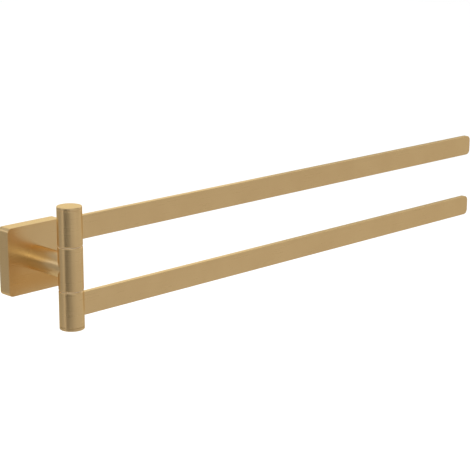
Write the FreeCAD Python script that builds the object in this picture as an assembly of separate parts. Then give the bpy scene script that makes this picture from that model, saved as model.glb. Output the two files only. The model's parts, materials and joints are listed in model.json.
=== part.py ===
import FreeCAD, Part
import os

from FreeCAD import Vector

# A double towel bar: two flat bars swivel on one column, which a stem holds in front of a square wall plate.
# Millimetres. The origin is the centre of the wall plate's back face, on the wall.
# X runs along the bars at rest, Y points into the wall and Z points up.

# Bars
bar_reach = 436.0            # from the column's axis to a bar's free end
bar_height = 16.1
bar_thickness = 4.0
bar_end_radius = 4.0         # corners of the free end, seen from the front
bar_edge_break = 0.25        # chamfer along the bar's edges
bar_socket_depth = 2.0       # how far a bar is let into its sleeve
braze_gap = 0.03             # round a bar or a stem in its brazed socket

# Column, from its middle to its top
knuckle_height = 29.9        # fixed middle section
bar_foot = 2.95              # sleeve below the bar
bar_head = 5.7               # sleeve above the bar
cap_thickness = 2.0
joint_edge_break = 0.65      # chamfer on both sides of a swivel joint
cap_edge_break = 0.4         # chamfer on a cap's rim and on the sleeve's end under it

# Swivel, from the axle outwards
axle_diameter = 7.0
running_clearance = 0.05     # radial, between the axle and a bush
bush_wall = 1.0
seat_clearance = 0.02        # radial, round a pressed piece
ledge_width = 1.0            # step in the sleeve's bore that the washer holds
sleeve_wall = 2.93           # round the counterbore

# Swivel, along the axle
thrust_clearance = 0.05      # axial, between sliding faces
thrust_washer_thickness = 0.4
thrust_washer_setback = 0.5  # thrust washer's rim, back from the column's surface
bush_proud = 0.1             # bush's end past the sleeve's ledge
washer_thickness = 0.8
washer_clearance = 0.3       # round a washer in its counterbore
washer_hole_clearance = 0.2  # radial, between a washer and its screw
cap_clearance = 0.6          # between the screw's head and the cap
cap_spigot_length = 3.0

# Axle screws
axle_screw_diameter = 4.0
axle_screw_length = 10.0
axle_screw_head_diameter = 7.0
axle_screw_head_height = 4.0
axle_screw_socket = 3.0      # across flats
axle_screw_socket_depth = 2.0

# Wall plate
plate_side = 47.6
plate_depth = 10.0
plate_corner_radius = 3.2
plate_edge_break = 0.3       # chamfer round the front face
plate_wall = 2.5
plate_web = 2.5              # front wall
pocket_corner_radius = 1.5

# Stem
wall_to_axis = 46.8          # from the wall to the column's axis
tenon_diameter = 11.0        # in the wall plate
tenon_flats = 9.0            # across the two flats that stop the stem turning
tenon_clearance = 0.05
tenon_end_gap = 0.2          # between the tenon's end and the washer

# Stem screw and washer
stem_screw_diameter = 6.0
stem_screw_length = 14.0
stem_screw_head_diameter = 10.5
stem_screw_head_height = 3.3
stem_screw_socket = 4.0      # across flats
stem_screw_socket_depth = 2.0
stem_washer_diameter = 16.0
stem_washer_thickness = 1.5

# Mounting bracket
bracket_front_gap = 0.4      # to the stem washer
bracket_side_gap = 2.0       # to the plate's inside, left and right
bracket_top_gap = 1.5
bracket_corner_radius = 2.5
bracket_centre_gap = 1.5     # round the stem screw's head
bracket_hole_diameter = 4.5
bracket_hole_edge = 5.3      # from a screw hole's centre to the bracket's side
hook_depth = 2.0             # undercut of the bracket's top and bottom edges
hook_clearance = 0.05
hook_rib_depth = 3.0         # plate's rib, from the wall forwards
hook_rib_setback = 0.3       # plate's rib, off the wall
lift_clearance = 0.6         # spare room when the plate is lifted off its hook

# Set screw under the plate
set_screw_diameter = 3.0
set_screw_recess = 0.8       # from the plate's underside up to the screw's end
set_screw_socket = 1.5       # across flats
set_screw_socket_depth = 2.0
set_screw_boss_height = 3.5
set_screw_boss_side = 2.5    # boss wall, left and right of the screw

# Shared by all fasteners and cuts
thread_clearance = 0.05      # radial, between a screw and its thread
drill_run_out = 1.5          # tapped hole past the screw's tip
overrun = 1.0                # cuts reach this far past the faces they open
match_tolerance = 1e-6

# Worked out from the above
bush_bore = axle_diameter + 2 * running_clearance
bush_diameter = bush_bore + 2 * bush_wall
sleeve_bore = bush_diameter + 2 * seat_clearance
counterbore = sleeve_bore + 2 * ledge_width
column_diameter = counterbore + 2 * sleeve_wall
column_radius = column_diameter / 2

thrust_washer_bottom = knuckle_height / 2 + thrust_clearance
sleeve_bottom = thrust_washer_bottom + thrust_washer_thickness
thrust_washer_radius = column_radius - thrust_washer_setback
bar_bottom = sleeve_bottom + bar_foot
sleeve_top = bar_bottom + bar_height + bar_head
column_top = sleeve_top + cap_thickness
bar_inner_end = column_radius - bar_socket_depth

screw_seat = sleeve_top - cap_spigot_length - cap_clearance - axle_screw_head_height
axle_end = screw_seat - washer_thickness
bush_end = axle_end - thrust_clearance
ledge = bush_end - bush_proud

pocket_side = plate_side - 2 * plate_wall
pocket_depth = plate_depth - plate_web
stem_washer_seat = pocket_depth - stem_washer_thickness
bracket_thickness = stem_washer_seat - bracket_front_gap
bracket_slope = hook_depth / bracket_thickness
bracket_width = pocket_side - 2 * bracket_side_gap
bracket_top = pocket_side / 2 - bracket_top_gap
boss_top = set_screw_boss_height - pocket_side / 2
bracket_bottom = boss_top + hook_depth + lift_clearance

X_AXIS = Vector(1, 0, 0)
Y_AXIS = Vector(0, 1, 0)
Z_AXIS = Vector(0, 0, 1)
ORIGIN = Vector()


def turned(corners):
    """A solid of revolution about Z from the (radius, height) corners of its half section."""
    points = [Vector(radius, 0, height) for radius, height in corners]
    return Part.Face(Part.makePolygon(points + points[:1])).revolve(ORIGIN, Z_AXIS, 360)


def prism_along_x(corners, width):
    """A prism centred on X = 0 from the (y, z) corners of its section."""
    points = [Vector(-width / 2, y, z) for y, z in corners]
    return Part.Face(Part.makePolygon(points + points[:1])).extrude(Vector(width, 0, 0))


def rod_along_y(diameter, front, back):
    """A round rod on the stem's axis, where front and back are distances from the wall."""
    return Part.makeCylinder(diameter / 2, front - back, Vector(0, -front, 0), Y_AXIS)


def hexagon(across_flats, depth):
    """A hexagonal key hole below Z = 0, open at the top."""
    outline = Part.makePolygon([
        FreeCAD.Rotation(Z_AXIS, 60 * corner).multVec(Vector(across_flats / 3 ** 0.5, 0, -depth))
        for corner in range(7)
    ])
    return Part.Face(outline).extrude(Vector(0, 0, depth + overrun))


def edges_along(shape, axis):
    """The straight edges of a shape that run along an axis."""
    return [
        edge for edge in shape.Edges
        if abs(edge.tangentAt(edge.FirstParameter).dot(axis)) > 1 - match_tolerance
    ]


def rounded_block(side, depth, corner_radius):
    """A square block from the wall forwards with rounded corners."""
    block = Part.makeBox(side, depth, side, Vector(-side / 2, -depth, -side / 2))
    return block.makeFillet(corner_radius, edges_along(block, Y_AXIS))


def bar_blank(start, end, gap):
    """A square block along X with the bar's height and thickness, grown by a gap all round."""
    corner = Vector(start, -bar_thickness / 2 - gap, bar_bottom - gap)
    return Part.makeBox(end - start, bar_thickness + 2 * gap, bar_height + 2 * gap, corner)


def on_column(shape):
    """Moves a piece from the Z axis to the column's axis."""
    return shape.translated(Vector(0, -wall_to_axis, 0))


def lower(shape):
    """The lower copy of a piece of the upper swivel."""
    return shape.mirror(ORIGIN, Z_AXIS)


def socket_screw(diameter, length, head_diameter, head_height, socket, socket_depth):
    """A screw that points down, with its head's underside at Z = 0."""
    screw = turned([
        (0, -length),
        (diameter / 2, -length),
        (diameter / 2, 0),
        (head_diameter / 2, 0),
        (head_diameter / 2, head_height),
        (0, head_height),
    ])
    return screw.cut(hexagon(socket, socket_depth).translated(Vector(0, 0, head_height)))


def ring(outer_diameter, inner_diameter, bottom, top):
    """A plain ring about Z."""
    return turned([
        (inner_diameter / 2, bottom),
        (outer_diameter / 2, bottom),
        (outer_diameter / 2, top),
        (inner_diameter / 2, top),
    ])


def tenon(diameter, flats, front, back):
    """A round bar on the stem's axis with two flats, left and right."""
    sides = Part.makeBox(flats, front - back, diameter, Vector(-flats / 2, -front, -diameter / 2))
    return rod_along_y(diameter, front, back).common(sides)


def make_mounting_bracket():
    """The plate that is screwed to the wall, undercut along its top and bottom edges."""
    bracket = prism_along_x([
        (0, bracket_bottom + hook_depth),
        (-bracket_thickness, bracket_bottom),
        (-bracket_thickness, bracket_top),
        (0, bracket_top - hook_depth),
    ], bracket_width)
    corners = [
        edge for edge in bracket.Edges
        if abs(edge.tangentAt(edge.FirstParameter).x) < match_tolerance
        and edge.BoundBox.YLength > match_tolerance
    ]
    bracket = bracket.makeFillet(bracket_corner_radius, corners)
    centre_diameter = stem_screw_head_diameter + 2 * bracket_centre_gap
    bracket = bracket.cut(rod_along_y(centre_diameter, bracket_thickness + overrun, -overrun))
    hole = rod_along_y(bracket_hole_diameter, bracket_thickness + overrun, -overrun)
    for side in (-1, 1):
        bracket = bracket.cut(hole.translated(Vector(side * (bracket_width / 2 - bracket_hole_edge), 0, 0)))
    return bracket


def hook_rib():
    """The rib inside the plate's top wall that hangs behind the bracket's top edge."""
    foot = bracket_top - hook_depth + hook_clearance
    root = pocket_side / 2 + plate_wall / 2
    return prism_along_x([
        (-hook_rib_setback, foot + hook_rib_setback * bracket_slope),
        (-hook_rib_depth, foot + hook_rib_depth * bracket_slope),
        (-hook_rib_depth, root),
        (-hook_rib_setback, root),
    ], bracket_width - 2 * bracket_corner_radius)


def set_screw_boss():
    """The block on the plate's lower wall that gives the set screw its thread."""
    width = set_screw_diameter + 2 * set_screw_boss_side
    root = plate_wall / 2
    depth = pocket_depth + plate_web / 2 - hook_rib_setback
    corner = Vector(-width / 2, -pocket_depth - plate_web / 2, -pocket_side / 2 - root)
    return Part.makeBox(width, depth, set_screw_boss_height + root, corner)


def make_wall_plate():
    """The square shell that covers the bracket and carries the stem."""
    block = rounded_block(plate_side, plate_depth, plate_corner_radius)
    front = min(block.Faces, key=lambda face: face.CenterOfMass.y)
    block = block.makeChamfer(plate_edge_break, front.Edges)
    shell = block.cut(rounded_block(pocket_side, pocket_depth, pocket_corner_radius))
    shell = shell.fuse([hook_rib(), set_screw_boss()])
    stem_hole = tenon(
        tenon_diameter + 2 * tenon_clearance,
        tenon_flats + 2 * tenon_clearance,
        plate_depth + overrun,
        pocket_depth - overrun,
    )
    thread = Part.makeCylinder(
        set_screw_diameter / 2 + thread_clearance,
        plate_wall + set_screw_boss_height + 2 * overrun,
        Vector(0, -bracket_thickness / 2, -plate_side / 2 - overrun),
    )
    return shell.cut([stem_hole, thread]).removeSplitter()


def make_plate_set_screw():
    """The headless screw that wedges the plate under the bracket's lower edge."""
    bottom = set_screw_recess - plate_side / 2
    radius = set_screw_diameter / 2
    tip = bracket_bottom + hook_depth / 2 - bracket_slope * radius - hook_clearance
    screw = Part.makeCylinder(radius, tip - bottom, Vector(0, 0, bottom))
    key = hexagon(set_screw_socket, set_screw_socket_depth).mirror(ORIGIN, Z_AXIS)
    screw = screw.cut(key.translated(Vector(0, 0, bottom)))
    return screw.translated(Vector(0, -bracket_thickness / 2, 0))


def make_stem():
    """The post from the plate to the column, hollowed at its end to sit round the knuckle."""
    shank = rod_along_y(column_diameter, wall_to_axis, plate_depth)
    saddle = Part.makeCylinder(
        column_radius + braze_gap,
        column_diameter + 2 * overrun,
        Vector(0, -wall_to_axis, -column_radius - overrun),
    )
    plug = tenon(tenon_diameter, tenon_flats, plate_depth + overrun, pocket_depth + tenon_end_gap)
    thread_front = stem_washer_seat + stem_screw_length + drill_run_out
    thread = rod_along_y(stem_screw_diameter + 2 * thread_clearance, thread_front, pocket_depth - overrun)
    return shank.cut(saddle).fuse(plug).cut(thread).removeSplitter()


def make_stem_washer():
    """The washer that spreads the stem screw's pull over the plate's front wall."""
    washer = rod_along_y(stem_washer_diameter, pocket_depth, stem_washer_seat)
    hole_diameter = stem_screw_diameter + 2 * washer_hole_clearance
    return washer.cut(rod_along_y(hole_diameter, pocket_depth + overrun, stem_washer_seat - overrun))


def make_stem_screw():
    """The screw that draws the stem against the plate from inside."""
    screw = socket_screw(
        stem_screw_diameter,
        stem_screw_length,
        stem_screw_head_diameter,
        stem_screw_head_height,
        stem_screw_socket,
        stem_screw_socket_depth,
    )
    screw.rotate(ORIGIN, X_AXIS, -90)
    return screw.translated(Vector(0, -stem_washer_seat, 0))


def make_hinge_knuckle():
    """The fixed middle of the column, bored for the axle."""
    end = knuckle_height / 2
    bore = axle_diameter / 2 + seat_clearance
    return turned([
        (bore, -end),
        (column_radius - joint_edge_break, -end),
        (column_radius, joint_edge_break - end),
        (column_radius, end - joint_edge_break),
        (column_radius - joint_edge_break, end),
        (bore, end),
    ])


def make_axle_pin():
    """The pin through all three sections, tapped at both ends."""
    radius = axle_diameter / 2
    thread = axle_screw_diameter / 2 + thread_clearance
    floor = screw_seat - axle_screw_length - drill_run_out
    return turned([
        (0, -floor),
        (thread, -floor),
        (thread, -axle_end),
        (radius, -axle_end),
        (radius, axle_end),
        (thread, axle_end),
        (thread, floor),
        (0, floor),
    ])


def make_sleeve():
    """The turning section of the column, with a socket for the bar in its side."""
    sleeve = turned([
        (sleeve_bore / 2, sleeve_bottom),
        (column_radius - joint_edge_break, sleeve_bottom),
        (column_radius, sleeve_bottom + joint_edge_break),
        (column_radius, sleeve_top - cap_edge_break),
        (column_radius - cap_edge_break, sleeve_top),
        (counterbore / 2, sleeve_top),
        (counterbore / 2, ledge),
        (sleeve_bore / 2, ledge),
    ])
    socket = bar_blank(bar_inner_end - braze_gap, column_radius + overrun, braze_gap)
    return sleeve.cut(socket.makeChamfer(bar_edge_break, edges_along(socket, X_AXIS)))


def make_bar():
    """A flat bar, square at the sleeve and rounded at its free end."""
    bar = bar_blank(bar_inner_end, bar_reach, 0)
    end_corners = [edge for edge in edges_along(bar, Y_AXIS) if edge.CenterOfMass.x > bar_inner_end]
    bar = bar.makeFillet(bar_end_radius, end_corners)
    outline = [
        edge for edge in bar.Edges
        if edge.BoundBox.YLength < match_tolerance and edge.BoundBox.XMax > bar_inner_end + match_tolerance
    ]
    return bar.makeChamfer(bar_edge_break, outline)


def make_bush():
    """The plain bush that lines the sleeve's bore."""
    return ring(bush_diameter, bush_bore, sleeve_bottom, bush_end)


def make_thrust_washer():
    """The thin ring between the knuckle and the sleeve that takes the arm's weight."""
    return ring(2 * thrust_washer_radius, bush_bore, thrust_washer_bottom, sleeve_bottom)


def make_washer():
    """The washer on the axle's end that keeps the sleeve from lifting off."""
    inner = axle_screw_diameter + 2 * washer_hole_clearance
    return ring(counterbore - 2 * washer_clearance, inner, axle_end, screw_seat)


def make_axle_screw():
    """The screw that holds the washer on the axle's end."""
    screw = socket_screw(
        axle_screw_diameter,
        axle_screw_length,
        axle_screw_head_diameter,
        axle_screw_head_height,
        axle_screw_socket,
        axle_screw_socket_depth,
    )
    return screw.translated(Vector(0, 0, screw_seat))


def make_cap():
    """The disc that closes the column, with a spigot in the sleeve's counterbore."""
    spigot = counterbore / 2 - seat_clearance
    return turned([
        (0, sleeve_top - cap_spigot_length),
        (spigot, sleeve_top - cap_spigot_length),
        (spigot, sleeve_top),
        (column_radius, sleeve_top),
        (column_radius, column_top - cap_edge_break),
        (column_radius - cap_edge_break, column_top),
        (0, column_top),
    ])


def make_nodes():
    """All pieces by name, in place."""
    nodes = {
        "mounting_bracket": make_mounting_bracket(),
        "wall_plate": make_wall_plate(),
        "plate_set_screw": make_plate_set_screw(),
        "stem": make_stem(),
        "stem_washer": make_stem_washer(),
        "stem_screw": make_stem_screw(),
        "hinge_knuckle": on_column(make_hinge_knuckle()),
        "axle_pin": on_column(make_axle_pin()),
    }
    swivel = {
        "sleeve": make_sleeve(),
        "bar": make_bar(),
        "bush": make_bush(),
        "thrust_washer": make_thrust_washer(),
        "washer": make_washer(),
        "axle_screw": make_axle_screw(),
        "cap": make_cap(),
    }
    for name, piece in swivel.items():
        nodes[f"upper_{name}"] = on_column(piece)
        nodes[f"lower_{name}"] = on_column(lower(piece))
    return nodes


os.makedirs("parts", exist_ok=True)
for node_name, node_shape in make_nodes().items():
    node_shape.exportStep(f"parts/{node_name}.step")
    box = node_shape.BoundBox
    print(f"{node_name}: {len(node_shape.Solids)} solid, valid {node_shape.isValid()}, "
          f"{node_shape.Volume:.1f} mm3, {box.XLength:.2f} x {box.YLength:.2f} x {box.ZLength:.2f}")
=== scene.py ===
import json
import logging
import math
from contextlib import contextmanager
from dataclasses import dataclass
from enum import Enum
from typing import Callable, Iterator

import bmesh
import bpy
from mathutils import Matrix, Vector


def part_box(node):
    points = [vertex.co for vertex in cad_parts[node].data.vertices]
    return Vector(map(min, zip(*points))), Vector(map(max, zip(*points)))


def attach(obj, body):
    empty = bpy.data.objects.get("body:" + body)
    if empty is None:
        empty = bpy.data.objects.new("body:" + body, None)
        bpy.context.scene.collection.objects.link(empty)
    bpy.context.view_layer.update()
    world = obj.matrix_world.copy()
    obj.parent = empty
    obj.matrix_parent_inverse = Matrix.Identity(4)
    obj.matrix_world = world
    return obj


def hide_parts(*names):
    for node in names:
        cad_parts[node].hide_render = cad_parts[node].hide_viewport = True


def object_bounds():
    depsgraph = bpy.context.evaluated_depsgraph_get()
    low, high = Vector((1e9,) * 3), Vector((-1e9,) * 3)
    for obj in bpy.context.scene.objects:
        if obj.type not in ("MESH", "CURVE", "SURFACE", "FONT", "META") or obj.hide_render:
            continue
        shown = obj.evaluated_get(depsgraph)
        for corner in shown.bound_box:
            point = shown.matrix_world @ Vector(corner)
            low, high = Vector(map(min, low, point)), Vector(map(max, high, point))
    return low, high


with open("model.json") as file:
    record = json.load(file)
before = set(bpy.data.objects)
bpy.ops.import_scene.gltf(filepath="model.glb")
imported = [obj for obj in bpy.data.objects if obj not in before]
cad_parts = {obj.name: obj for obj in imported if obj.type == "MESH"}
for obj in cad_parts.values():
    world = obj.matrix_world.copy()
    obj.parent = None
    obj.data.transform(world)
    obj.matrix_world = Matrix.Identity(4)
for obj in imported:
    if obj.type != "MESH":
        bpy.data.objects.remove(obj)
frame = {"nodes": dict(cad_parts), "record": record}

# The double towel bar, dressed: two flat bars that swivel on a column, which a stem holds off a wall plate.
# Metres throughout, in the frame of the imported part. Sizes that the frame gives are read from it.

Triple = tuple[float, float, float]
Pieces = dict[str, bpy.types.Object]

LOG = logging.getLogger("double_towel_bar")
CAD_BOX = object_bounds()
MM = 0.001
TOUCH = 1e-6                 # two places closer than this are the same
ROUND_SIDES = 128            # facets round the column and the stem
SMOOTH_ANGLE = math.radians(35)


class Element(Enum):
    """What a selection in edit mode is made of."""

    VERTEX = "VERT"
    EDGE = "EDGE"
    FACE = "FACE"


class Joining(Enum):
    """How a second shape changes a piece."""

    CUT = "DIFFERENCE"
    ADD = "UNION"


class Brushing(Enum):
    """The direction that the fine lines of a brushed surface run in."""

    ALONG_X = "along_x"
    ROUND_COLUMN = "round_column"
    ROUND_STEM = "round_stem"


class Side(Enum):
    """The end of the column that an arm turns on."""

    UPPER = "upper"
    LOWER = "lower"


class Tint(Enum):
    """The colour of a card in the studio."""

    PLAIN = (1.0, 1.0, 1.0)
    CREAM = (1.0, 0.965, 0.91)
    WARM = (1.0, 0.936, 0.833)
    COOL = (0.80, 0.92, 1.0)


# Modelling by hand

def select_alone(piece: bpy.types.Object) -> None:
    """Makes a piece the active object and the only selected one.

    Args:
        piece: The object to select.
    """
    bpy.ops.object.select_all(action="DESELECT")
    piece.select_set(True)
    bpy.context.view_layer.objects.active = piece


@contextmanager
def editing(piece: bpy.types.Object) -> Iterator[None]:
    """Opens a piece in edit mode and closes it again.

    Args:
        piece: The mesh object to shape.

    Returns:
        A context in which mesh operators act on the piece alone.
    """
    select_alone(piece)
    bpy.ops.object.mode_set(mode="EDIT")
    yield
    bpy.ops.object.mode_set(mode="OBJECT")


def pick(piece: bpy.types.Object, kind: Element, test: Callable[..., bool]) -> None:
    """Selects by place or normal in edit mode.

    Args:
        piece: The mesh object that is open in edit mode.
        kind: Whether vertices, edges or faces are selected.
        test: Says of one element whether it is wanted.
    """
    bpy.ops.mesh.select_mode(type=kind.value)
    bpy.ops.mesh.select_all(action="DESELECT")
    mesh = bmesh.from_edit_mesh(piece.data)
    elements = {Element.VERTEX: mesh.verts, Element.EDGE: mesh.edges, Element.FACE: mesh.faces}[kind]
    for element in elements:
        if test(element):
            element.select_set(True)
    mesh.select_flush_mode()
    bmesh.update_edit_mesh(piece.data)


def round_off(
    piece: bpy.types.Object,
    kind: Element,
    test: Callable[..., bool],
    radius: float,
    steps: int,
) -> None:
    """Rounds corners of a flat section or edges of a solid piece, in edit mode.

    Args:
        piece: The mesh object that is open in edit mode.
        kind: Vertices for a flat section's corners, and edges for a solid piece.
        test: Says of one element whether it is rounded.
        radius: The radius of the rounding.
        steps: How many facets it has.
    """
    pick(piece, kind, test)
    affected = {Element.VERTEX: "VERTICES", Element.EDGE: "EDGES"}[kind]
    bpy.ops.mesh.bevel(offset=radius, segments=steps, affect=affected)


def draw_out(x: float = 0, y: float = 0, z: float = 0) -> None:
    """Extrudes what is selected in edit mode by a run along each axis."""
    bpy.ops.mesh.extrude_region_move(TRANSFORM_OT_translate={"value": (x, y, z)})


def middle(edge: bmesh.types.BMEdge) -> Vector:
    """The middle of an edge."""
    return (edge.verts[0].co + edge.verts[1].co) / 2


def runs_along(edge: bmesh.types.BMEdge, axis: Vector) -> bool:
    """Whether an edge runs along an axis."""
    run = edge.verts[1].co - edge.verts[0].co
    return run.cross(axis).length < TOUCH


def near(first: float, second: float) -> bool:
    """Whether two places along an axis are the same."""
    return abs(first - second) < TOUCH


def radius_of(node: str) -> float:
    """The outer radius of a round, upright solid of the frame."""
    low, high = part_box(node)
    return (high.x - low.x) / 2


def settle(name: str) -> bpy.types.Object:
    """Names the new primitive and puts its place and size into its mesh.

    Args:
        name: The piece's name.

    Returns:
        The primitive's object.
    """
    piece = bpy.context.object
    piece.name = name
    piece.data.name = name
    bpy.ops.object.transform_apply(location=True, rotation=True, scale=True)
    return piece


def add_block(name: str, low: Vector, high: Vector) -> bpy.types.Object:
    """Adds a box.

    Args:
        name: The piece's name.
        low: Its lowest corner.
        high: Its highest corner.

    Returns:
        The new object, with its place in its mesh.
    """
    bpy.ops.object.select_all(action="DESELECT")
    bpy.ops.mesh.primitive_cube_add(size=1, location=(low + high) / 2)
    bpy.context.object.scale = high - low
    return settle(name)


def add_rod(name: str, radius: float, start: Vector, end: Vector) -> bpy.types.Object:
    """Adds a round rod.

    Args:
        name: The piece's name.
        radius: Its radius.
        start: The middle of one end.
        end: The middle of the other end.

    Returns:
        The new object, with its place in its mesh.
    """
    run = end - start
    bpy.ops.object.select_all(action="DESELECT")
    bpy.ops.mesh.primitive_cylinder_add(
        vertices=ROUND_SIDES,
        radius=radius,
        depth=run.length,
        location=(start + end) / 2,
        rotation=run.to_track_quat("Z", "Y").to_euler(),
    )
    return settle(name)


def add_half_section(
    name: str,
    axis: Vector,
    radii: tuple[float, float],
    heights: tuple[float, float],
) -> bpy.types.Object:
    """Adds a flat rectangle beside an upright axis, to be shaped and spun.

    Args:
        name: The piece's name.
        axis: A point on the axis.
        radii: The radii of the rectangle's inner and outer sides.
        heights: The heights of its two ends, in either order.

    Returns:
        The new object, with its place in its mesh.
    """
    inner, outer = radii
    low, high = sorted(heights)
    bpy.ops.object.select_all(action="DESELECT")
    bpy.ops.mesh.primitive_plane_add(
        size=1,
        location=(axis.x + (inner + outer) / 2, axis.y, (low + high) / 2),
        rotation=(math.pi / 2, 0, 0),
    )
    bpy.context.object.scale = (outer - inner, high - low, 1)
    return settle(name)


def spin_section(piece: bpy.types.Object, axis: Vector) -> None:
    """Turns a half section into a round piece, in edit mode.

    Args:
        piece: The flat section that is open in edit mode.
        axis: A point on the upright axis.
    """
    pick(piece, Element.EDGE, lambda edge: len(edge.link_faces) > 1)
    bpy.ops.mesh.dissolve_edges(use_verts=False)
    bpy.ops.mesh.select_all(action="SELECT")
    bpy.ops.mesh.delete(type="ONLY_FACE")
    pick(piece, Element.EDGE, lambda edge: all(near(vertex.co.x, axis.x) for vertex in edge.verts))
    bpy.ops.mesh.delete(type="EDGE")
    bpy.ops.mesh.select_all(action="SELECT")
    bpy.ops.mesh.spin(steps=ROUND_SIDES, angle=2 * math.pi, center=axis, axis=(0, 0, 1))
    bpy.ops.mesh.select_all(action="SELECT")
    bpy.ops.mesh.remove_doubles(threshold=TOUCH)
    bpy.ops.mesh.normals_make_consistent(inside=False)


def combine(piece: bpy.types.Object, tool: bpy.types.Object, how: Joining) -> None:
    """Cuts a shape out of a piece or adds it to the piece, and uses the shape up.

    Args:
        piece: The piece that is changed.
        tool: The shape that changes it.
        how: Whether the shape is cut out or added.
    """
    modifier = piece.modifiers.new(how.value.lower(), "BOOLEAN")
    modifier.operation = how.value
    modifier.solver = "EXACT"
    modifier.object = tool
    select_alone(piece)
    bpy.ops.object.modifier_apply(modifier=modifier.name)
    bpy.data.objects.remove(tool)


def smooth(piece: bpy.types.Object) -> None:
    """Shades round faces smooth and keeps flat faces flat.

    Args:
        piece: The modelled piece.
    """
    select_alone(piece)
    bpy.ops.object.shade_smooth_by_angle(angle=SMOOTH_ANGLE)
    modifier = piece.modifiers.new("flat_faces", "WEIGHTED_NORMAL")
    modifier.keep_sharp = True
    bpy.ops.object.modifier_apply(modifier=modifier.name)


# Finishes

def new_material(name: str) -> tuple[bpy.types.Material, bpy.types.NodeTree, bpy.types.Node]:
    """Makes an empty procedural material.

    Args:
        name: The material's name.

    Returns:
        The material, its node tree and its surface shader.
    """
    material = bpy.data.materials.new(name)
    material.use_nodes = True
    tree = material.node_tree
    return material, tree, tree.nodes["Principled BSDF"]


def noise_on(tree: bpy.types.NodeTree, per_metre: Triple, layers: int) -> bpy.types.NodeSocket:
    """Adds noise that is fixed to the piece.

    Args:
        tree: The material's node tree.
        per_metre: How often the noise changes in a metre along X, Y and Z.
        layers: How many finer layers it has.

    Returns:
        The socket that holds the noise's value.
    """
    place = tree.nodes.new("ShaderNodeTexCoord")
    stretch = tree.nodes.new("ShaderNodeMapping")
    stretch.inputs["Scale"].default_value = per_metre
    noise = tree.nodes.new("ShaderNodeTexNoise")
    noise.inputs["Scale"].default_value = 1
    noise.inputs["Detail"].default_value = layers
    tree.links.new(place.outputs["Object"], stretch.inputs["Vector"])
    tree.links.new(stretch.outputs["Vector"], noise.inputs["Vector"])
    return noise.outputs["Fac"]


def spread(
    tree: bpy.types.NodeTree,
    source: bpy.types.NodeSocket,
    low: float,
    high: float,
) -> bpy.types.NodeSocket:
    """Maps the usual range of a noise to a range of values.

    Args:
        tree: The material's node tree.
        source: The noise's value.
        low: The value where the noise is low.
        high: The value where the noise is high.

    Returns:
        The socket that holds the mapped value.
    """
    usual_low, usual_high = 0.3, 0.7
    mapping = tree.nodes.new("ShaderNodeMapRange")
    mapping.inputs["From Min"].default_value = usual_low
    mapping.inputs["From Max"].default_value = usual_high
    mapping.inputs["To Min"].default_value = low
    mapping.inputs["To Max"].default_value = high
    tree.links.new(source, mapping.inputs["Value"])
    return mapping.outputs["Result"]


def blend_colours(
    tree: bpy.types.NodeTree,
    source: bpy.types.NodeSocket,
    low: Triple,
    high: Triple,
) -> bpy.types.NodeSocket:
    """Blends two colours by a noise.

    Args:
        tree: The material's node tree.
        source: A value from 0 to 1.
        low: The colour at 0.
        high: The colour at 1.

    Returns:
        The socket that holds the blended colour.
    """
    mix = tree.nodes.new("ShaderNodeMix")
    mix.data_type = "RGBA"
    colours = [socket for socket in mix.inputs if socket.type == "RGBA"]
    colours[0].default_value = (*low, 1)
    colours[1].default_value = (*high, 1)
    tree.links.new(source, mix.inputs["Factor"])
    return next(socket for socket in mix.outputs if socket.type == "RGBA")


def raise_lines(
    tree: bpy.types.NodeTree,
    shader: bpy.types.Node,
    source: bpy.types.NodeSocket,
    height: float,
) -> None:
    """Gives the surface the relief of a noise.

    Args:
        tree: The material's node tree.
        shader: The surface shader.
        source: The noise's value.
        height: The height of the relief in metres.
    """
    bump = tree.nodes.new("ShaderNodeBump")
    bump.inputs["Strength"].default_value = 1
    bump.inputs["Distance"].default_value = height
    tree.links.new(source, bump.inputs["Height"])
    tree.links.new(bump.outputs["Normal"], shader.inputs["Normal"])


@dataclass(frozen=True)
class BrushedGold:
    """The satin gold of every piece that shows."""

    brushing: Brushing
    slot: str = "brushed_gold"
    deep: Triple = (0.785, 0.57, 0.305)
    pale: Triple = (0.815, 0.60, 0.325)
    grazing: Triple = (0.94, 0.84, 0.59)
    smoothest: float = 0.273
    roughest: float = 0.297
    lines_per_metre: float = 4200
    line_ends_per_metre: float = 28
    line_layers: int = 3
    line_height: float = 0.00015 * MM
    clouds_per_metre: float = 45
    cloud_layers: int = 2

    def material(self) -> bpy.types.Material:
        """Makes the material, once for each direction of brushing.

        Returns:
            The material.
        """
        name = f"{self.slot}_{self.brushing.value}"
        if name in bpy.data.materials:
            return bpy.data.materials[name]
        material, tree, shader = new_material(name)
        shader.inputs["Metallic"].default_value = 1
        shader.inputs["Specular Tint"].default_value = (*self.grazing, 1)
        lines, ends = self.lines_per_metre, self.line_ends_per_metre
        per_metre = {
            Brushing.ALONG_X: (ends, lines, lines),
            Brushing.ROUND_COLUMN: (ends, ends, lines),
            Brushing.ROUND_STEM: (ends, lines, ends),
        }[self.brushing]
        streaks = noise_on(tree, per_metre, self.line_layers)
        clouds = noise_on(tree, (self.clouds_per_metre,) * 3, self.cloud_layers)
        colour = blend_colours(tree, spread(tree, clouds, 0, 1), self.deep, self.pale)
        tree.links.new(colour, shader.inputs["Base Color"])
        rough = spread(tree, streaks, self.smoothest, self.roughest)
        tree.links.new(rough, shader.inputs["Roughness"])
        raise_lines(tree, shader, streaks, self.line_height)
        return material


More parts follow.
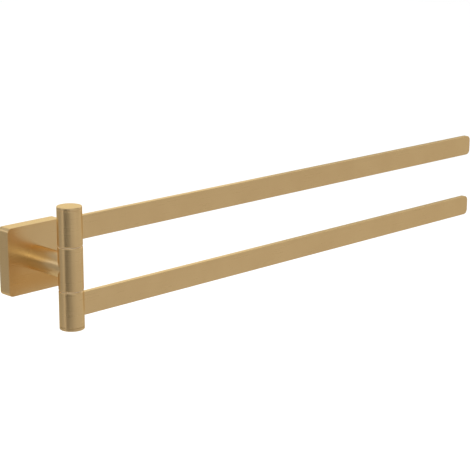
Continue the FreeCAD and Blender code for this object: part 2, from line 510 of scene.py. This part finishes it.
@dataclass(frozen=True)
class GrainedFinish:
    """A plain surface with an even grain: turned steel, cast zinc or moulded polymer."""

    slot: str
    deep: Triple
    pale: Triple
    metallic: float
    smoothest: float
    roughest: float
    grains_per_metre: float
    grain_height: float
    grain_layers: int = 4

    def material(self) -> bpy.types.Material:
        """Makes the material, once.

        Returns:
            The material.
        """
        name = f"{self.slot}_grained"
        if name in bpy.data.materials:
            return bpy.data.materials[name]
        material, tree, shader = new_material(name)
        shader.inputs["Metallic"].default_value = self.metallic
        grain = noise_on(tree, (self.grains_per_metre,) * 3, self.grain_layers)
        colour = blend_colours(tree, spread(tree, grain, 0, 1), self.deep, self.pale)
        tree.links.new(colour, shader.inputs["Base Color"])
        rough = spread(tree, grain, self.smoothest, self.roughest)
        tree.links.new(rough, shader.inputs["Roughness"])
        raise_lines(tree, shader, grain, self.grain_height)
        return material


STAINLESS = GrainedFinish(
    "stainless",
    deep=(0.50, 0.50, 0.51),
    pale=(0.66, 0.66, 0.67),
    metallic=1,
    smoothest=0.25,
    roughest=0.38,
    grains_per_metre=2600,
    grain_height=0.004 * MM,
)
ZINC = GrainedFinish(
    "zinc",
    deep=(0.36, 0.37, 0.38),
    pale=(0.50, 0.51, 0.53),
    metallic=1,
    smoothest=0.42,
    roughest=0.6,
    grains_per_metre=900,
    grain_height=0.02 * MM,
)
POLYMER = GrainedFinish(
    "polymer",
    deep=(0.74, 0.60, 0.40),
    pale=(0.80, 0.66, 0.45),
    metallic=0,
    smoothest=0.5,
    roughest=0.65,
    grains_per_metre=1800,
    grain_height=0.01 * MM,
)
Finish = BrushedGold | GrainedFinish


def coat(piece: bpy.types.Object, finish: Finish) -> None:
    """Gives a piece one finish all over."""
    piece.data.materials.clear()
    piece.data.materials.append(finish.material())


def stand_in(piece: bpy.types.Object, node: str, body: str, finish: Finish) -> None:
    """Finishes a piece and lets it stand for a solid of the frame.

    Args:
        piece: The modelled piece.
        node: The solid that it stands for.
        body: The body that it moves with.
        finish: Its finish.
    """
    smooth(piece)
    coat(piece, finish)
    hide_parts(node)
    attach(piece, body)


# The object

@dataclass
class Column:
    """What the pieces of the column share: its axis, its radius, its rims and its fits."""

    seat_clearance: float = 0.02 * MM
    braze_gap: float = 0.03 * MM
    joint_rim: float = 0.65 * MM
    rim_steps: int = 3

    @property
    def radius(self) -> float:
        """The column's outer radius."""
        return radius_of("hinge_knuckle")

    @property
    def axis(self) -> Vector:
        """A point on the column's axis, at the height of the stem."""
        return Vector((0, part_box("hinge_knuckle")[0].y + self.radius, 0))

    def mould(self, name: str) -> bpy.types.Object:
        """A rod that is as thick as the column and longer, to cut a hollow that fits round it.

        Args:
            name: The rod's name.

        Returns:
            The rod.
        """
        reach = Vector((0, 0, CAD_BOX[1].z + self.radius))
        return add_rod(name, self.radius + self.braze_gap, self.axis - reach, self.axis + reach)


@dataclass
class Swivel:
    """One arm: a bar let into a sleeve that turns on the column, closed by a cap."""

    side: Side
    column: Column
    cap_rim: float = 0.4 * MM
    bar_end_radius: float = 4.0 * MM
    bar_end_steps: int = 10
    bar_edge_radius: float = 0.3 * MM
    bar_edge_steps: int = 4
    washer_clearance: float = 0.3 * MM
    thrust_rim: float = 0.12 * MM
    bush_proud: float = 0.1 * MM
    bush_wall: float = 1.0 * MM

    def named(self, piece: str) -> str:
        """The full name of one of the arm's pieces."""
        return f"{self.side.value}_{piece}"

    @property
    def body(self) -> str:
        """The body that the arm's pieces ride on."""
        return self.named("arm")

    @property
    def outwards(self) -> float:
        """1 where the arm's far end is up, and -1 where it is down."""
        return 1 if self.side is Side.UPPER else -1

    @property
    def counterbore(self) -> float:
        """The radius of the sleeve's wider bore, which holds the washer and the cap's spigot."""
        return radius_of(self.named("washer")) + self.washer_clearance

    def span(self, piece: str) -> tuple[float, float]:
        """The heights of a solid's ends, the one nearer to the column's middle first."""
        low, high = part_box(self.named(piece))
        return (low.z, high.z) if self.outwards > 0 else (high.z, low.z)

    def build(self) -> Pieces:
        """Models the arm's pieces.

        Returns:
            The pieces, by the solids that they stand for.
        """
        return {
            self.named("sleeve"): self.sleeve(),
            self.named("cap"): self.cap(),
            self.named("thrust_washer"): self.thrust_washer(),
            self.named("bar"): self.bar(),
        }

    def dress(self, pieces: Pieces) -> None:
        """Gives the arm's pieces their finishes.

        Args:
            pieces: The pieces, by the solids that they stand for.
        """
        round_lines = BrushedGold(Brushing.ROUND_COLUMN)
        others = {
            self.named("thrust_washer"): POLYMER,
            self.named("bar"): BrushedGold(Brushing.ALONG_X),
        }
        for node, piece in pieces.items():
            stand_in(piece, node, self.body, others.get(node, round_lines))

    def sleeve(self) -> bpy.types.Object:
        """The turning section, bored for its bush and counterbored for the washer.

        Returns:
            The sleeve's object.
        """
        axis = self.column.axis
        near_end, far_end = self.span("sleeve")
        ledge = self.span("bush")[1] - self.outwards * self.bush_proud
        bore = radius_of(self.named("bush")) + self.column.seat_clearance
        piece = add_half_section(
            self.named("sleeve_turned"), axis, (self.counterbore, self.column.radius), (near_end, far_end),
        )
        with editing(piece):
            bpy.ops.mesh.select_all(action="SELECT")
            bpy.ops.mesh.bisect(plane_co=(0, 0, ledge), plane_no=(0, 0, 1))
            pick(piece, Element.EDGE, lambda edge: (
                all(near(vertex.co.x, axis.x + self.counterbore) for vertex in edge.verts)
                and min(near_end, ledge) < middle(edge).z < max(near_end, ledge)
            ))
            draw_out(x=bore - self.counterbore)
            self.round_rim(piece, near_end, self.column.joint_rim)
            self.round_rim(piece, far_end, self.cap_rim)
            spin_section(piece, axis)
        return piece

    def round_rim(self, piece: bpy.types.Object, height: float, radius: float) -> None:
        """Rounds an outer corner of a half section.

        Args:
            piece: The half section that is open in edit mode.
            height: The height of the corner.
            radius: The radius of its rounding.
        """
        outer = self.column.axis.x + self.column.radius
        round_off(piece, Element.VERTEX, lambda vertex: (
            near(vertex.co.x, outer) and near(vertex.co.z, height)
        ), radius, self.column.rim_steps)

    def thrust_washer(self) -> bpy.types.Object:
        """The thin ring between the knuckle and the sleeve, rounded at its rim.

        Returns:
            The ring's object.
        """
        axis = self.column.axis
        inner = radius_of(self.named("bush")) - self.bush_wall
        outer = radius_of(self.named("thrust_washer"))
        piece = add_half_section(
            self.named("thrust_ring"), axis, (inner, outer), self.span("thrust_washer"),
        )
        with editing(piece):
            round_off(piece, Element.VERTEX, lambda vertex: (
                near(vertex.co.x, axis.x + outer)
            ), self.thrust_rim, self.column.rim_steps)
            spin_section(piece, axis)
        return piece

    def cap(self) -> bpy.types.Object:
        """The disc that closes the sleeve, with a spigot in the counterbore.

        Returns:
            The cap's object.
        """
        axis = self.column.axis
        spigot_end, outside = self.span("cap")
        seat = self.span("sleeve")[1]
        spigot = self.counterbore - self.column.seat_clearance
        piece = add_half_section(
            self.named("cap_turned"), axis, (0, self.column.radius), (seat, outside),
        )
        with editing(piece):
            bpy.ops.mesh.select_all(action="SELECT")
            bpy.ops.mesh.bisect(plane_co=(axis.x + spigot, 0, 0), plane_no=(1, 0, 0))
            pick(piece, Element.EDGE, lambda edge: (
                near(middle(edge).z, seat) and middle(edge).x < axis.x + spigot
            ))
            draw_out(z=spigot_end - seat)
            self.round_rim(piece, outside, self.cap_rim)
            spin_section(piece, axis)
        return piece

    def bar(self) -> bpy.types.Object:
        """The flat bar, rounded at its free end and hollowed to sit against the sleeve.

        Returns:
            The bar's object.
        """
        axis = self.column.axis
        low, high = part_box(self.named("bar"))
        piece = add_block(self.named("bar_flat"), Vector((axis.x, low.y, low.z)), high)
        with editing(piece):
            round_off(piece, Element.EDGE, lambda edge: (
                runs_along(edge, Vector((0, 1, 0))) and near(middle(edge).x, high.x)
            ), self.bar_end_radius, self.bar_end_steps)
            round_off(piece, Element.EDGE, lambda edge: (
                near(edge.verts[0].co.y, edge.verts[1].co.y) and middle(edge).x > axis.x + TOUCH
            ), self.bar_edge_radius, self.bar_edge_steps)
        combine(piece, self.column.mould(self.named("mould")), Joining.CUT)
        return piece


@dataclass
class WallMount:
    """What stays on the wall: the plate, the stem and the column's fixed middle."""

    column: Column
    body: str = "wall_mount"
    plate_corner_radius: float = 3.2 * MM
    plate_corner_steps: int = 12
    plate_edge_radius: float = 0.3 * MM
    plate_edge_steps: int = 4
    plate_wall: float = 2.5 * MM
    plate_web: float = 2.5 * MM
    tenon_radius: float = 5.5 * MM
    tenon_clearance: float = 0.05 * MM
    thread_clearance: float = 0.05 * MM
    end_gap: float = 0.2 * MM
    rib_setback: float = 0.3 * MM
    rib_depth: float = 3.0 * MM
    rib_clearance: float = 0.05 * MM
    bracket_corner_radius: float = 2.5 * MM
    hook_depth: float = 2.0 * MM
    boss_height: float = 3.5 * MM
    boss_side: float = 2.5 * MM
    overrun: float = 1.0 * MM

    def build(self) -> Pieces:
        """Models the pieces that stay on the wall.

        Returns:
            The pieces, by the solids that they stand for.
        """
        return {"wall_plate": self.plate(), "stem": self.stem(), "hinge_knuckle": self.knuckle()}

    def dress(self, pieces: Pieces) -> None:
        """Gives the pieces brushed lines in their own directions.

        Args:
            pieces: The pieces, by the solids that they stand for.
        """
        lines = {
            "wall_plate": Brushing.ALONG_X,
            "stem": Brushing.ROUND_STEM,
            "hinge_knuckle": Brushing.ROUND_COLUMN,
        }
        for node, piece in pieces.items():
            stand_in(piece, node, self.body, BrushedGold(lines[node]))

    def hook_rib(self) -> bpy.types.Object:
        """The rib inside the plate's top wall that hangs behind the bracket's top edge.

        Returns:
            The rib, to be added to the plate.
        """
        bracket_low, bracket_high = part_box("mounting_bracket")
        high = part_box("wall_plate")[1]
        slope = self.hook_depth / (bracket_high.y - bracket_low.y)
        foot = bracket_high.z - self.hook_depth + self.rib_clearance
        half_width = bracket_high.x - self.bracket_corner_radius
        rib = add_block(
            "hook_rib",
            Vector((-half_width, -self.rib_depth, foot + self.rib_setback * slope)),
            Vector((half_width, -self.rib_setback, high.z - self.plate_wall / 2)),
        )
        with editing(rib):
            pick(rib, Element.VERTEX, lambda vertex: (
                near(vertex.co.y, -self.rib_depth) and vertex.co.z < high.z - self.plate_wall
            ))
            rise = (self.rib_depth - self.rib_setback) * slope
            bpy.ops.transform.translate(value=(0, 0, rise))
        return rib

    def screw_boss(self) -> bpy.types.Object:
        """The block on the plate's lower wall that gives the set screw its thread.

        Returns:
            The boss, to be added to the plate.
        """
        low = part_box("wall_plate")[0]
        half_width = radius_of("plate_set_screw") + self.boss_side
        return add_block(
            "screw_boss",
            Vector((-half_width, low.y + self.plate_web / 2, low.z + self.plate_wall / 2)),
            Vector((half_width, -self.rib_setback, low.z + self.plate_wall + self.boss_height)),
        )

    def plate(self) -> bpy.types.Object:
        """The square shell that covers the bracket, with its corners and its front edge rounded.

        Returns:
            The plate's object.
        """
        low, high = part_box("wall_plate")
        piece = add_block("wall_plate_shell", low, high)
        with editing(piece):
            round_off(piece, Element.EDGE, lambda edge: (
                runs_along(edge, Vector((0, 1, 0)))
            ), self.plate_corner_radius, self.plate_corner_steps)
            round_off(piece, Element.EDGE, lambda edge: (
                all(near(vertex.co.y, low.y) for vertex in edge.verts)
            ), self.plate_edge_radius, self.plate_edge_steps)
            pick(piece, Element.FACE, lambda face: near(face.calc_center_median().y, high.y))
            bpy.ops.mesh.inset(thickness=self.plate_wall)
            draw_out(y=self.plate_web - (high.y - low.y))
        combine(piece, self.hook_rib(), Joining.ADD)
        combine(piece, self.screw_boss(), Joining.ADD)
        combine(piece, self.thread_hole(), Joining.CUT)
        combine(piece, self.tenon_hole(), Joining.CUT)
        return piece

    def thread_hole(self) -> bpy.types.Object:
        """The set screw's hole.

        Returns:
            A rod to be cut out of the plate.
        """
        low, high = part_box("plate_set_screw")
        radius = radius_of("plate_set_screw") + self.thread_clearance
        foot = Vector((0, (low.y + high.y) / 2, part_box("wall_plate")[0].z - self.overrun))
        head = Vector((0, foot.y, high.z + self.overrun))
        return add_rod("thread_hole", radius, foot, head)

    def tenon_hole(self) -> bpy.types.Object:
        """The hole in the plate's front wall that the stem's end goes through.

        Returns:
            A rod to be cut out of the plate.
        """
        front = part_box("wall_plate")[0].y
        start = Vector((0, front - self.overrun, 0))
        end = Vector((0, front + self.plate_web + self.overrun, 0))
        return add_rod("tenon_hole", self.tenon_radius + self.tenon_clearance, start, end)

    def stem(self) -> bpy.types.Object:
        """The post from the plate to the column, hollowed to sit round the knuckle.

        Returns:
            The stem's object.
        """
        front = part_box("wall_plate")[0].y
        piece = add_rod("stem_post", self.column.radius, self.column.axis, Vector((0, front, 0)))
        combine(piece, self.column.mould("stem_mould"), Joining.CUT)
        with editing(piece):
            pick(piece, Element.FACE, lambda face: near(face.calc_center_median().y, front))
            bpy.ops.mesh.inset(thickness=self.column.radius - self.tenon_radius)
            draw_out(y=self.plate_web - self.end_gap)
        return piece

    def knuckle(self) -> bpy.types.Object:
        """The column's fixed middle, bored for the axle.

        Returns:
            The knuckle's object.
        """
        axis, outer = self.column.axis, self.column.radius
        low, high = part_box("hinge_knuckle")
        bore = radius_of("axle_pin") + self.column.seat_clearance
        piece = add_half_section("hinge_knuckle_turned", axis, (bore, outer), (low.z, high.z))
        with editing(piece):
            round_off(piece, Element.VERTEX, lambda vertex: (
                near(vertex.co.x, axis.x + outer)
            ), self.column.joint_rim, self.column.rim_steps)
            spin_section(piece, axis)
        return piece


@dataclass
class InnerParts:
    """The axle, the bushes, the bracket and the fasteners, which keep the frame's own shapes."""

    finishes: tuple[GrainedFinish, ...] = (STAINLESS, ZINC, POLYMER)
    modelled_ending: str = "thrust_washer"

    def build(self) -> Pieces:
        """Picks the frame's solids that are not gold and that no modelled piece stands for.

        Returns:
            The frame's own objects, by their nodes.
        """
        slots = [finish.slot for finish in self.finishes]
        rows = [row for row in frame["record"]["subparts"] if row["material_slot"] in slots]
        nodes = [row["node"] for row in rows if not row["node"].endswith(self.modelled_ending)]
        return {node: frame["nodes"][node] for node in nodes}

    def dress(self, pieces: Pieces) -> None:
        """Gives the solids the finishes of their slots.

        Args:
            pieces: The frame's own objects, by their nodes.
        """
        finishes = {finish.slot: finish for finish in self.finishes}
        slots = {row["node"]: row["material_slot"] for row in frame["record"]["subparts"]}
        for node, piece in pieces.items():
            coat(piece, finishes[slots[node]])


# The studio

@dataclass(frozen=True)
class Viewpoint:
    """Where the camera stands and how it looks at the part."""

    place: Vector = Vector((-0.58692, -0.79312, 0.26038))
    heading: float = math.radians(44.777)
    tilt_down: float = math.radians(14.144)
    roll: float = math.radians(0.147)
    lens_mm: float = 112.83
    sensor_mm: float = 36.0

    def build(self) -> None:
        """Makes the scene's camera."""
        camera = bpy.data.cameras.new("camera")
        camera.lens = self.lens_mm
        camera.sensor_width = self.sensor_mm
        rig = bpy.data.objects.new("camera", camera)
        bpy.context.scene.collection.objects.link(rig)
        turn = (
            Matrix.Rotation(-self.heading, 4, "Z")
            @ Matrix.Rotation(math.pi / 2 - self.tilt_down, 4, "X")
            @ Matrix.Rotation(self.roll, 4, "Z")
        )
        rig.matrix_world = Matrix.Translation(self.place) @ turn
        bpy.context.scene.camera = rig


@dataclass(frozen=True)
class Lamp:
    """One square soft lamp that points at the part."""

    name: str
    place: Vector
    size: float
    power: float

    def build(self, target: Vector) -> None:
        """Hangs the lamp.

        Args:
            target: The point that it lights.
        """
        lamp = bpy.data.lights.new(self.name, "AREA")
        lamp.shape = "SQUARE"
        lamp.size = self.size
        lamp.energy = self.power
        rig = bpy.data.objects.new(self.name, lamp)
        rig.visible_glossy = False
        rig.location = self.place
        rig.rotation_euler = (target - self.place).to_track_quat("-Z", "Y").to_euler()
        bpy.context.scene.collection.objects.link(rig)


def bare_material(name: str) -> tuple[bpy.types.Material, bpy.types.NodeTree]:
    """Makes a material that has no surface yet.

    Args:
        name: The material's name.

    Returns:
        The material and its node tree.
    """
    material, tree, shader = new_material(name)
    tree.nodes.remove(shader)
    return material, tree


def finish_surface(tree: bpy.types.NodeTree, surface: bpy.types.NodeSocket) -> None:
    """Lets a shader be the material's surface."""
    tree.links.new(surface, tree.nodes["Material Output"].inputs["Surface"])


@dataclass(frozen=True)
class Card:
    """A flat card beside the part that only the metal's reflections see."""

    name: str
    place: Vector
    width: float
    height: float
    level: float
    tint: Tint = Tint.PLAIN
    lies_flat: bool = False

    def build(self, target: Vector) -> None:
        """Puts the card in its place.

        Args:
            target: The point that it faces where it doesn't lie flat.
        """
        bpy.ops.object.select_all(action="DESELECT")
        bpy.ops.mesh.primitive_plane_add(size=1)
        card = bpy.context.object
        card.name = self.name
        card.scale = (self.width, self.height, 1)
        if not self.lies_flat:
            card.rotation_euler = (target - self.place).to_track_quat("Z", "Y").to_euler()
        card.location = self.place
        bpy.ops.object.transform_apply(location=True, rotation=True, scale=True)
        card.visible_camera = False
        card.visible_diffuse = False
        card.visible_shadow = False
        card.data.materials.append(self.material())

    def material(self) -> bpy.types.Material:
        """Makes an even, glowing colour.

        Returns:
            The material.
        """
        material, tree = bare_material(self.name)
        glow = tree.nodes.new("ShaderNodeEmission")
        glow.inputs["Color"].default_value = (*self.tint.value, 1)
        glow.inputs["Strength"].default_value = self.level
        finish_surface(tree, glow.outputs["Emission"])
        return material


def seen_directly(tree: bpy.types.NodeTree) -> bpy.types.NodeSocket:
    """Whether a ray comes from the camera, from a mirror or through glass.

    Args:
        tree: The node tree of a material or of the world.

    Returns:
        A socket that is 1 for such a ray and 0 for others.
    """
    path = tree.nodes.new("ShaderNodeLightPath")
    total = path.outputs["Is Camera Ray"]
    for name in ("Is Glossy Ray", "Is Transmission Ray"):
        either = tree.nodes.new("ShaderNodeMath")
        either.operation = "MAXIMUM"
        tree.links.new(total, either.inputs[0])
        tree.links.new(path.outputs[name], either.inputs[1])
        total = either.outputs["Value"]
    return total


@dataclass(frozen=True)
class Studio:
    """A white room with a pale floor, soft lamps and cards for the metal to mirror."""

    floor_depth: float = 0.6
    floor_side: float = 14.0
    floor_colour: Triple = (0.8, 0.8, 0.8)
    floor_lift: float = 0.58
    room_colour: Triple = (1.0, 1.0, 1.0)
    room_light: float = 0.55
    room_seen: float = 1.0
    lamps: tuple[Lamp, ...] = (
        Lamp("key_lamp", Vector((-0.9, -1.3, 1.5)), size=1.2, power=22),
        Lamp("fill_lamp", Vector((1.6, -1.1, 1.2)), size=1.4, power=14),
        Lamp("back_lamp", Vector((0.3, 1.4, 1.6)), size=1.2, power=10),
    )
    cards: tuple[Card, ...] = (
        Card("floor_card", Vector((0, 0, -0.5)), 10, 10, level=0.58, tint=Tint.WARM, lies_flat=True),
        Card("under_card", Vector((0, 0, -0.45)), 0.6, 0.6, level=0.8, lies_flat=True),
        Card("near_card", Vector((0, -0.75, -0.48)), 1.2, 0.5, level=0.3, tint=Tint.WARM, lies_flat=True),
        Card("dark_card", Vector((-1.18, -0.34, -0.34)), 0.75, 0.74, level=0.09, tint=Tint.WARM),
        Card("half_card", Vector((-0.9, -0.92, -0.28)), 0.58, 0.86, level=0.22, tint=Tint.WARM),
        Card("shade_card", Vector((-0.38, -1.45, -0.36)), 1.0, 0.6, level=0.41, tint=Tint.WARM),
        Card("left_card", Vector((-0.63, 0.98, -0.17)), 1.7, 0.66, level=0.38, tint=Tint.CREAM),
        Card("far_card", Vector((1.75, 0.8, 0.28)), 1.0, 0.6, level=0.45),
        Card("front_card", Vector((0.95, -1.3, 0.35)), 1.7, 0.94, level=0.37, tint=Tint.WARM),
        Card("top_card", Vector((0, -0.06, 0.6)), 2.0, 1.88, level=0.47),
        Card("glint_card", Vector((-0.54, -0.84, 0.42)), 0.6, 0.6, level=1.8, tint=Tint.COOL),
        Card("crown_card", Vector((0, 0, 0.55)), 0.5, 0.5, level=0.95),
    )

    def build(self) -> None:
        """Sets up the room, the lamps and the cards."""
        bpy.context.scene.view_settings.view_transform = "Standard"
        target = (CAD_BOX[0] + CAD_BOX[1]) / 2
        self.room()
        self.floor()
        for lamp in self.lamps:
            lamp.build(target)
        for card in self.cards:
            card.build(target)

    def room(self) -> None:
        """White wherever it is seen or mirrored, and a softer light on the floor."""
        world = bpy.data.worlds.new("white_room")
        bpy.context.scene.world = world
        world.use_nodes = True
        tree = world.node_tree
        background = tree.nodes["Background"]
        background.inputs["Color"].default_value = (*self.room_colour, 1)
        strength = tree.nodes.new("ShaderNodeMapRange")
        strength.inputs["To Min"].default_value = self.room_light
        strength.inputs["To Max"].default_value = self.room_seen
        tree.links.new(seen_directly(tree), strength.inputs["Value"])
        tree.links.new(strength.outputs["Result"], background.inputs["Strength"])

    def floor(self) -> None:
        """A pale floor under the part that is white where nothing shades it."""
        bpy.ops.object.select_all(action="DESELECT")
        bpy.ops.mesh.primitive_plane_add(size=self.floor_side, location=(0, 0, -self.floor_depth))
        floor = settle("floor")
        material, tree = bare_material("floor")
        matt = tree.nodes.new("ShaderNodeBsdfDiffuse")
        matt.inputs["Color"].default_value = (*self.floor_colour, 1)
        lift = tree.nodes.new("ShaderNodeEmission")
        amount = tree.nodes.new("ShaderNodeMath")
        amount.operation = "MULTIPLY"
        amount.inputs[1].default_value = self.floor_lift
        both = tree.nodes.new("ShaderNodeAddShader")
        tree.links.new(seen_directly(tree), amount.inputs[0])
        tree.links.new(amount.outputs["Value"], lift.inputs["Strength"])
        tree.links.new(matt.outputs["BSDF"], both.inputs[0])
        tree.links.new(lift.outputs["Emission"], both.inputs[1])
        finish_surface(tree, both.outputs["Shader"])
        floor.data.materials.append(material)


def main() -> None:
    """Builds the part's pieces in order, then the studio round them."""
    logging.basicConfig(level=logging.INFO, format="%(name)s: %(message)s")
    column = Column()
    arms = [Swivel(side, column) for side in Side]
    for assembly in (WallMount(column), *arms, InnerParts()):
        pieces = assembly.build()
        assembly.dress(pieces)
        for node, piece in pieces.items():
            LOG.info("%s: %s, %d faces", node, piece.name, len(piece.data.polygons))
    Studio().build()
    Viewpoint().build()


if __name__ == "__main__":
    main()
